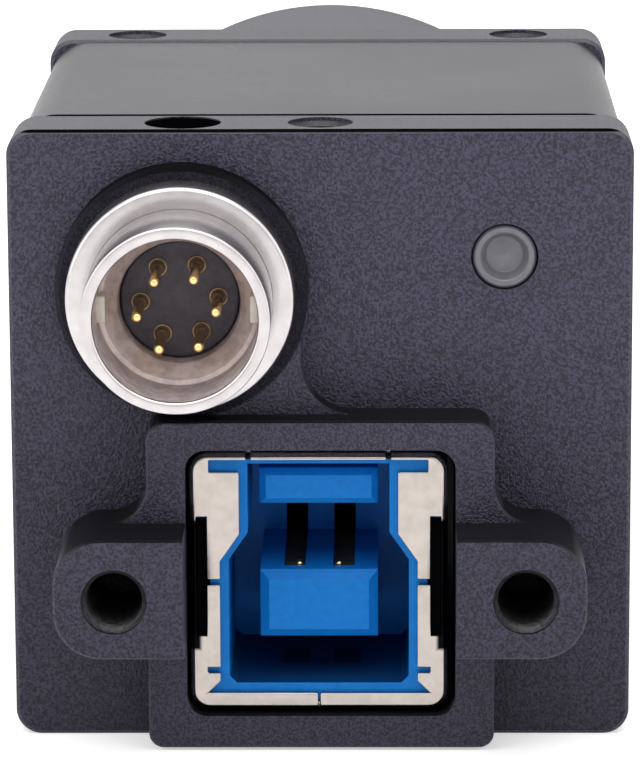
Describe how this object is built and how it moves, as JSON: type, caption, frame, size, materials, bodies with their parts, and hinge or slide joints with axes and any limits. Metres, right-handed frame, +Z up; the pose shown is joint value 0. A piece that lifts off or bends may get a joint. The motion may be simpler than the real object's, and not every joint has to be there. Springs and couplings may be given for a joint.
{
  "type": "machine vision camera",
  "caption": "Square-bodied machine vision camera with a threaded lens mount in front, and a square data socket, a round power socket and a status light on its stepped rear panel.",
  "frame": {"origin": "middle of the lens flange, the front face of the lens mount ring", "axes": "+Y looks out of the lens along its axis, +Z is up, +X is to the right of somebody who looks at the rear panel"},
  "size_m": [0.029, 0.0526, 0.029],
  "materials": {
    "housing_black": "fine blasted and anodised black",
    "cover_black": "smooth black coating",
    "screw_black": "blackened",
    "screw_steel": "plain",
    "spacer_brass": "turned",
    "bright_nickel": "polished nickel plating",
    "folded_steel": "bright tin plating",
    "blue_plastic": "moulded, half gloss",
    "contact_gold": "gold plating",
    "socket_black": "moulded",
    "link_plastic": "moulded",
    "light_clear": "clear moulded, dark behind",
    "lamp_white": "lens of a small lamp",
    "filter_clear": "coated optical glass",
    "retainer_black": "blackened",
    "seal_rubber": "matt",
    "package_grey": "ceramic look",
    "sensor_dark": "polished",
    "board_green": "lacquered board",
    "chip_black": "moulded"
  },
  "bodies": {
    "root": {"lens_mount_block": "housing_black", "rear_block": "housing_black", "wrap_cover": "cover_black", "tie_screws": "screw_black", "socket_lock_screw": "screw_black", "stack_nuts": "screw_steel", "front_spacers": "spacer_brass", "rear_spacers": "spacer_brass", "round_socket_shell": "bright_nickel", "round_socket_nut": "bright_nickel", "data_socket_shell": "folded_steel", "data_socket_insulator": "blue_plastic", "data_contacts": "contact_gold", "fast_contacts": "contact_gold", "round_socket_pins": "contact_gold", "round_socket_insulator": "socket_black", "front_link_plug": "link_plastic", "front_link_socket": "link_plastic", "rear_link_plug": "link_plastic", "rear_link_socket": "link_plastic", "status_light_pipe": "light_clear", "status_lamp": "lamp_white", "filter_glass": "filter_clear", "sensor_window": "filter_clear", "filter_retainer": "retainer_black", "sensor_seal": "seal_rubber", "sensor_package": "package_grey", "sensor_die": "sensor_dark", "sensor_board": "board_green", "processor_board": "board_green", "interface_board": "board_green", "processor_chip": "chip_black", "memory_chip": "chip_black", "link_chip": "chip_black", "power_inductor": "chip_black"}
  },
  "joints": []
}
